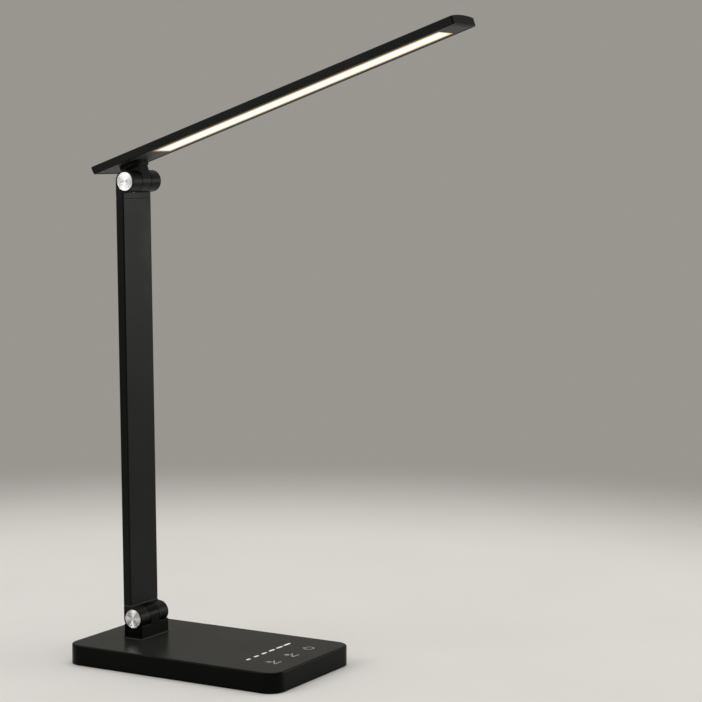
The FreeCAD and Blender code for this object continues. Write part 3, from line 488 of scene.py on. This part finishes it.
def ink(name, colour):
    """Screen-printed ink with slightly uneven cover."""
    cover_size = 0.5 * MM
    material, nodes = new_material(name)
    place = nodes.place()
    cover = nodes.noise(place, cover_size, 3.0)
    nodes.surface({
        "Base Color": nodes.mix(cover, shade(colour, 0.88), shade(colour)),
        "Roughness": 0.5 + 0.15 * cover,
        "Specular IOR Level": 0.3,
    })
    return material


# Painted light and shade in bands: a lighter top, highlights at the foot, edge and collar, shade in the seam
top_painted_light_band = Band(BASE_TOP - TOP_BAND, BASE_TOP + TOP_BAND, TOP_PAINTED_LIGHT)
lip_painted_highlight_band = Band(BASE_TOP, BASE_TOP + LIP_HEIGHT, LIP_PAINTED_HIGHLIGHT)
edge_painted_highlight_band = Band(TUBE_HIGH - EDGE_BAND, TUBE_HIGH, EDGE_PAINTED_HIGHLIGHT)
collar_painted_highlight_band = Band(TUBE_LOW - COLLAR_BAND, TUBE_LOW, COLLAR_PAINTED_HIGHLIGHT)
seam_painted_shade_band = Band(TUBE_HIGH - SEAM_BAND, TUBE_HIGH + SEAM_BAND / 2, SEAM_PAINTED_SHADE, rougher=0.5)

base_black = base_satin("base_satin_black", BASE_BLACK, top_painted_light_band)
pedestal_black = base_satin("pedestal_satin_black", PEDESTAL_BLACK, lip_painted_highlight_band)
arm_black = arm_satin("arm_satin_black", ARM_BLACK)
tube_black = arm_satin("tube_satin_black", ARM_BLACK, edge_painted_highlight_band)
lower_fork_black = arm_satin("lower_fork_satin_black", ARM_BLACK, collar_painted_highlight_band)
upper_fork_black = arm_satin("upper_fork_satin_black", UPPER_FORK_BLACK, seam_painted_shade_band)
bracket_black = arm_satin("bracket_satin_black", BRACKET_BLACK)
cover_black = moulded("cover_matte_black", COVER_BLACK, roughness=0.6)
plate_black = moulded("underside_matte_black", PLATE_BLACK, roughness=0.5, specular=0.4)
jack_black = moulded("jack_moulded_black", JACK_BLACK, roughness=0.3)
chip_black = moulded("chip_moulded_black", CHIP_BLACK, roughness=0.45)
washer_black = moulded("washer_nylon", NYLON_BLACK, roughness=0.45)
chip_yellow = moulded("chip_phosphor", PHOSPHOR_YELLOW, roughness=0.3)
film_white = moulded("film_white", FILM_WHITE, roughness=0.35)
pad_rubber = rubber("pad_rubber", PAD_BLACK, grain=1.2 * MM)
lead_rubber = rubber("lead_rubber", LEAD_BLACK, grain=0.6 * MM)
foam_grey = rubber("foam_grey", FOAM_GREY, grain=0.5 * MM)
weight_steel = turned_metal("weight_steel", STEEL, roughness=0.4, grain=0.8 * MM)
screw_steel = turned_metal("screw_blackened", BLACKENED_STEEL, roughness=0.35)
hinge_steel = turned_metal("hinge_steel", BRIGHT_STEEL, roughness=0.3)
bush_brass = turned_metal("bush_brass", BRASS, roughness=0.3)
pin_nickel = turned_metal("pin_nickel", NICKEL, roughness=0.25)
lower_bright = spun_metal("lower_disc_spun", LOWER_AXIS, brightness=0.92, lean=0.68, roughness=0.24)
upper_bright = spun_metal("upper_disc_spun", UPPER_AXIS, brightness=1.0, lean=0.34, roughness=0.3)
board_green = circuit_board("board_green", BOARD_GREEN)
strip_white = circuit_board("strip_white", STRIP_WHITE)
guide_clear = clear_sheet("guide_acrylic", ACRYLIC_CLEAR, roughness=0.1)
diffuser_glow = glowing_diffuser("diffuser_frosted")
dash_white = ink("dash_ink", DASH_WHITE)
key_grey = ink("key_ink", KEY_GREY)

FINISHES = {
    "base_housing": base_black,
    "inlet_plate": base_black,
    "base_cover": cover_black,
    "non_slip_pad": pad_rubber,
    "cover_screws": screw_steel,
    "base_weight": weight_steel,
    "weight_screws": screw_steel,
    "control_board": board_green,
    "board_parts": chip_black,
    "board_screws": screw_steel,
    "key_foams": foam_grey,
    "slider_foam": foam_grey,
    "dc_jack": jack_black,
    "dc_jack_pin": pin_nickel,
    "power_lead": lead_rubber,
    "lamp_lead": lead_rubber,
    "pedestal": pedestal_black,
    "pedestal_screws": screw_steel,
    "lower_hinge_screws": hinge_steel,
    "lower_washers": washer_black,
    "arm_tube": tube_black,
    "lower_fork": lower_fork_black,
    "upper_fork": upper_fork_black,
    "fork_screws": screw_steel,
    "arm_lead": lead_rubber,
    "lower_bushes": bush_brass,
    "upper_bushes": bush_brass,
    "lower_caps": lower_bright,
    "upper_caps": upper_bright,
    "upper_hinge_screws": hinge_steel,
    "upper_washers": washer_black,
    "head_bracket": bracket_black,
    "bracket_screws": screw_steel,
    "head_shell": arm_black,
    "head_front_cap": arm_black,
    "head_rear_cap": arm_black,
    "underside_plate": plate_black,
    "diffuser": diffuser_glow,
    "light_guide": guide_clear,
    "reflector_film": film_white,
    "led_strips": strip_white,
    "leds": chip_yellow,
    "head_lead": lead_rubber,
}
for name, node in frame["nodes"].items():
    node.material_slots[0].material = FINISHES[name]


# Printed touch marks that repeat

SIZE = "NodeSocketFloat"
COUNT = "NodeSocketInt"


class Shapes:
    """A Geometry Nodes tree whose named inputs are counts or sizes in metres, filled node by node."""

    def __init__(self, name, sizes):
        self.tree = bpy.data.node_groups.new(name, "GeometryNodeTree")
        self.tree.interface.new_socket("Geometry", in_out="OUTPUT", socket_type="NodeSocketGeometry")
        for label, kind in sizes.items():
            self.tree.interface.new_socket(label, in_out="INPUT", socket_type=kind)
        self.inputs = self.tree.nodes.new("NodeGroupInput").outputs

    def add(self, kind, settings=None, inputs=None):
        """A node with its settings, then the values or links of its sockets; gives its first output."""
        node = self.tree.nodes.new(kind)
        for key, value in (settings or {}).items():
            setattr(node, key, value)
        for key, value in (inputs or {}).items():
            if isinstance(value, bpy.types.NodeSocket):
                self.tree.links.new(value, node.inputs[key])
            else:
                node.inputs[key].default_value = value
        return node.outputs[0]

    def math(self, operation, first, second):
        return self.add("ShaderNodeMath", {"operation": operation}, {0: first, 1: second})

    def join(self, pieces):
        node = self.tree.nodes.new("GeometryNodeJoinGeometry")
        for piece in pieces:
            self.tree.links.new(piece, node.inputs[0])
        return node.outputs[0]

    def finish(self, geometry, material):
        """Ends the tree in plain faces of one material."""
        real = self.add("GeometryNodeRealizeInstances", inputs={0: geometry})
        painted = self.add("GeometryNodeSetMaterial", inputs={"Geometry": real, "Material": material})
        self.tree.links.new(painted, self.tree.nodes.new("NodeGroupOutput").inputs[0])


def raised_bar(shapes, length, width, height):
    """A low bar with round ends, lying along X with its foot at zero."""
    outline = shapes.add("GeometryNodeCurvePrimitiveQuadrilateral", inputs={"Width": length, "Height": width})
    corner = shapes.math("MULTIPLY", width, BAR_CORNER_SHARE)
    rounding = {"Curve": outline, "Count": BAR_CORNER_POINTS, "Radius": corner}
    rounded = shapes.add("GeometryNodeFilletCurve", {"mode": "POLY"}, rounding)
    face = shapes.add("GeometryNodeFillCurve", {"mode": "NGONS"}, {"Curve": rounded})
    raising = {"Mesh": face, "Offset Scale": height, "Individual": False}
    walls = shapes.add("GeometryNodeExtrudeMesh", inputs=raising)
    foot = shapes.add("GeometryNodeFlipFaces", inputs={"Mesh": face})
    bar = shapes.join([walls, foot])
    return shapes.add("GeometryNodeMergeByDistance", inputs={"Geometry": bar, "Distance": BAR_MERGE})


def dash_row(material):
    """Row of bars that grow along Y."""
    shapes = Shapes("slider_dashes", {
        "Count": COUNT, "Pitch": SIZE, "Shortest": SIZE, "Longest": SIZE, "Width": SIZE, "Height": SIZE,
    })
    given = shapes.inputs
    offset = shapes.add("ShaderNodeCombineXYZ", inputs={"Y": given["Pitch"]})
    points = shapes.add("GeometryNodeMeshLine", inputs={"Count": given["Count"], "Offset": offset})
    index = shapes.add("GeometryNodeInputIndex")
    last = shapes.math("SUBTRACT", given["Count"], 1.0)
    ratio = shapes.math("DIVIDE", given["Longest"], given["Shortest"])
    stretch = shapes.add("ShaderNodeMapRange", inputs={0: index, 1: 0.0, 2: last, 3: 1.0, 4: ratio})
    scale = shapes.add("ShaderNodeCombineXYZ", inputs={"X": stretch, "Y": 1.0, "Z": 1.0})
    bar = raised_bar(shapes, given["Shortest"], given["Width"], given["Height"])
    quarter_turn = (0.0, 0.0, math.pi / 2)
    setting_out = {"Points": points, "Instance": bar, "Rotation": quarter_turn, "Scale": scale}
    shapes.finish(shapes.add("GeometryNodeInstanceOnPoints", inputs=setting_out), material)
    return shapes.tree


def sun_rays(material):
    """Ring of short bars that point outwards."""
    shapes = Shapes("sun_rays", {
        "Count": COUNT, "Start": SIZE, "Length": SIZE, "Width": SIZE, "Height": SIZE,
    })
    given = shapes.inputs
    half = shapes.math("MULTIPLY", given["Length"], 0.5)
    middle = shapes.math("ADD", given["Start"], half)
    ring = shapes.add("GeometryNodeMeshCircle", inputs={"Vertices": given["Count"], "Radius": middle})
    outward = shapes.add("GeometryNodeInputPosition")
    turn = shapes.add("FunctionNodeAlignRotationToVector", {"axis": "X"}, {"Vector": outward})
    bar = raised_bar(shapes, given["Length"], given["Width"], given["Height"])
    setting_out = {"Points": ring, "Instance": bar, "Rotation": turn}
    shapes.finish(shapes.add("GeometryNodeInstanceOnPoints", inputs=setting_out), material)
    return shapes.tree


def made_mesh(tree, values):
    """The mesh that a tree gives for its named inputs."""
    holder = bpy.data.objects.new(tree.name, bpy.data.meshes.new(tree.name))
    bpy.context.scene.collection.objects.link(holder)
    modifier = holder.modifiers.new(tree.name, "NODES")
    modifier.node_group = tree
    for item in tree.interface.items_tree:
        if item.in_out == "INPUT":
            modifier[item.identifier] = values[item.name]
    graph = bpy.context.evaluated_depsgraph_get()
    mesh = bpy.data.meshes.new_from_object(holder.evaluated_get(graph))
    bpy.data.objects.remove(holder)
    return mesh


# Printed touch marks that are drawn one by one

def raise_outline(bm, rim, hole=None):
    """A low prism on a closed outline, or on the band between an outline and a hole with as many points."""
    rise = Vector((0, 0, INK_HEIGHT))
    low = [bm.verts.new(p) for p in rim]
    high = [bm.verts.new(p + rise) for p in rim]
    count = len(rim)
    following = [(i, (i + 1) % count) for i in range(count)]
    for i, j in following:
        bm.faces.new((low[i], low[j], high[j], high[i]))
    if hole is None:
        bm.faces.new(high)
        bm.faces.new(low[::-1])
        return
    inner_low = [bm.verts.new(p) for p in hole]
    inner_high = [bm.verts.new(p + rise) for p in hole]
    for i, j in following:
        bm.faces.new((inner_low[j], inner_low[i], inner_high[i], inner_high[j]))
        bm.faces.new((high[i], high[j], inner_high[j], inner_high[i]))
        bm.faces.new((low[j], low[i], inner_low[i], inner_low[j]))


def arc_points(centre, radius, start, end, count):
    """Points on an arc, with both its ends."""
    angles = [start + (end - start) * i / (count - 1) for i in range(count)]
    return [centre + Vector((radius * math.cos(a), radius * math.sin(a), 0)) for a in angles]


def circle_points(centre, radius):
    return arc_points(centre, radius, 0, 2 * math.pi, CIRCLE_POINTS + 1)[:-1]


def raise_disc(bm, centre, radius):
    raise_outline(bm, circle_points(centre, radius))


def raise_ring(bm, centre, radius, width):
    outer = circle_points(centre, radius + width / 2)
    inner = circle_points(centre, radius - width / 2)
    raise_outline(bm, outer, inner)


def raise_arc(bm, centre, radius, width, start, end):
    """Part of a ring."""
    outer = arc_points(centre, radius + width / 2, start, end, ARC_POINTS)
    inner = arc_points(centre, radius - width / 2, start, end, ARC_POINTS)
    raise_outline(bm, outer + inner[::-1])


def raise_stroke(bm, start, end, width):
    """A straight line of even width."""
    course = (end - start).normalized()
    aside = Vector((-course.y, course.x, 0)) * (width / 2)
    raise_outline(bm, [start - aside, end - aside, end + aside, start + aside])


def raise_rays(bm, centre, rays):
    """A sun's rays about its centre."""
    first = len(bm.verts)
    bm.from_mesh(rays)
    bm.verts.ensure_lookup_table()
    bmesh.ops.translate(bm, vec=centre, verts=bm.verts[first:])


def raise_wedge(bm, centre):
    """The open wedge under a sun: a slant down from its far side, and a level foot."""
    top = centre + Vector((-WEDGE_TOP, WEDGE_HALF, 0))
    corner = centre + Vector((WEDGE_FOOT, -WEDGE_HALF, 0))
    end = centre + Vector((WEDGE_FOOT, WEDGE_HALF, 0))
    raise_stroke(bm, top, corner, LINE_WIDTH)
    raise_stroke(bm, corner, end, LINE_WIDTH)


def raise_power(bm, centre):
    """A ring with a gap, and a stroke through the gap."""
    raise_arc(bm, centre, POWER_RADIUS, LINE_WIDTH, POWER_GAP - math.pi, math.pi - POWER_GAP)
    start = centre + Vector((-POWER_STROKE_START, 0, 0))
    end = centre + Vector((-POWER_STROKE_END, 0, 0))
    raise_stroke(bm, start, end, LINE_WIDTH)


def key_marks(rays):
    """The three touch keys' marks: a dim sun, a bright sun and a power ring."""
    bm = bmesh.new()
    lift = Vector((-SUN_LIFT, -SUN_ASIDE, 0))
    dim, bright, power = [Vector((KEY_X, i * KEY_PITCH, INK_FOOT)) for i in (-1, 0, 1)]
    for centre in (dim, bright):
        raise_rays(bm, centre + lift, rays)
        raise_wedge(bm, centre)
    raise_ring(bm, dim + lift, SUN_RADIUS - LINE_WIDTH / 2, LINE_WIDTH)
    raise_disc(bm, bright + lift, SUN_RADIUS)
    raise_power(bm, power)
    bmesh.ops.recalc_face_normals(bm, faces=bm.faces)
    mesh = bpy.data.meshes.new("key_marks")
    bm.to_mesh(mesh)
    bm.free()
    mesh.materials.append(key_grey)
    return mesh


def add_piece(name, mesh, body):
    piece = bpy.data.objects.new(name, mesh)
    bpy.context.scene.collection.objects.link(piece)
    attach(piece, body)


ray_mesh = made_mesh(sun_rays(key_grey), {
    "Count": SUN_RAYS, "Start": SUN_RAY_START, "Length": SUN_RAY_LENGTH, "Width": SUN_RAY_WIDTH,
    "Height": INK_HEIGHT,
})
dash_mesh = made_mesh(dash_row(dash_white), {
    "Count": DASH_COUNT, "Pitch": DASH_PITCH, "Shortest": DASH_FIRST_LENGTH, "Longest": DASH_LAST_LENGTH,
    "Width": DASH_WIDTH, "Height": INK_HEIGHT,
})
dash_mesh.transform(Matrix.Translation((DASH_X, DASH_FIRST_Y, INK_FOOT)))
add_piece("slider_dashes", dash_mesh, "base")
add_piece("key_marks", key_marks(ray_mesh), "base")


# Studio

def floor_finish():
    """Pale matte floor that fades out at a distance."""
    cloud_size = 120 * MM
    material, nodes = new_material("studio_floor")
    place = nodes.place()
    x, y, _ = nodes.parts(place)
    radius = nodes.math("SQRT", x * x + y * y)
    cloud = nodes.noise(place, cloud_size, 3.0)
    nodes.surface({
        "Base Color": nodes.mix(cloud, shade(FLOOR_DARK), shade(FLOOR_PALE)),
        "Roughness": 0.7 + 0.1 * cloud,
        "Specular IOR Level": 0.2,
        "Alpha": nodes.step(radius, FLOOR_FADE_START, FLOOR_FADE_END, 1.0, 0.0),
    })
    return material


def add_floor():
    bm = bmesh.new()
    bmesh.ops.create_circle(bm, cap_ends=True, segments=FLOOR_SIDES, radius=FLOOR_RADIUS)
    mesh = bpy.data.meshes.new("floor")
    bm.to_mesh(mesh)
    bm.free()
    mesh.materials.append(floor_finish())
    floor = bpy.data.objects.new("floor", mesh)
    bpy.context.scene.collection.objects.link(floor)


def add_world():
    """Even grey surroundings, lighter overhead and behind the lamp, darkest behind the viewer."""
    world = bpy.data.worlds.new("studio")
    world.use_nodes = True
    bpy.context.scene.world = world
    nodes = Nodes(world.node_tree)
    direction = nodes.add("TexCoord", output="Generated")
    x, y, z = nodes.parts(direction)
    away = AWAY_X * x + AWAY_Y * y
    level = nodes.mix(nodes.step(away, NEAR_END, FAR_START), shade(NEAR_GREY), shade(FAR_GREY))
    sky = nodes.mix(nodes.step(z, OVERHEAD_LOW, OVERHEAD_HIGH), level, shade(OVERHEAD_GREY))
    background = nodes.add("Background", inputs={"Color": sky, "Strength": 1.0})
    nodes.add("OutputWorld", inputs={"Surface": background})


def add_light(name, place, target, size, power, colour):
    """A soft rectangular light that faces a target."""
    light = bpy.data.lights.new(name, "AREA")
    light.shape = "RECTANGLE"
    light.size, light.size_y = size
    light.energy = power
    light.color = colour
    lamp = bpy.data.objects.new(name, light)
    lamp.location = place
    lamp.visible_camera = False
    lamp.rotation_mode = "QUATERNION"
    lamp.rotation_quaternion = (Vector(target) - Vector(place)).to_track_quat("-Z", "Y")
    bpy.context.scene.collection.objects.link(lamp)


def add_camera():
    data = bpy.data.cameras.new("camera")
    data.lens = CAMERA_LENS
    data.sensor_width = CAMERA_SENSOR
    camera = bpy.data.objects.new("camera", data)
    camera.location = CAMERA_PLACE
    camera.rotation_euler = (math.pi / 2 - CAMERA_PITCH, 0, CAMERA_YAW)
    bpy.context.scene.collection.objects.link(camera)
    bpy.context.scene.camera = camera


add_floor()
add_world()
for light in LIGHTS:
    add_light(**light)
add_camera()
bpy.context.scene.view_settings.view_transform = "Standard"
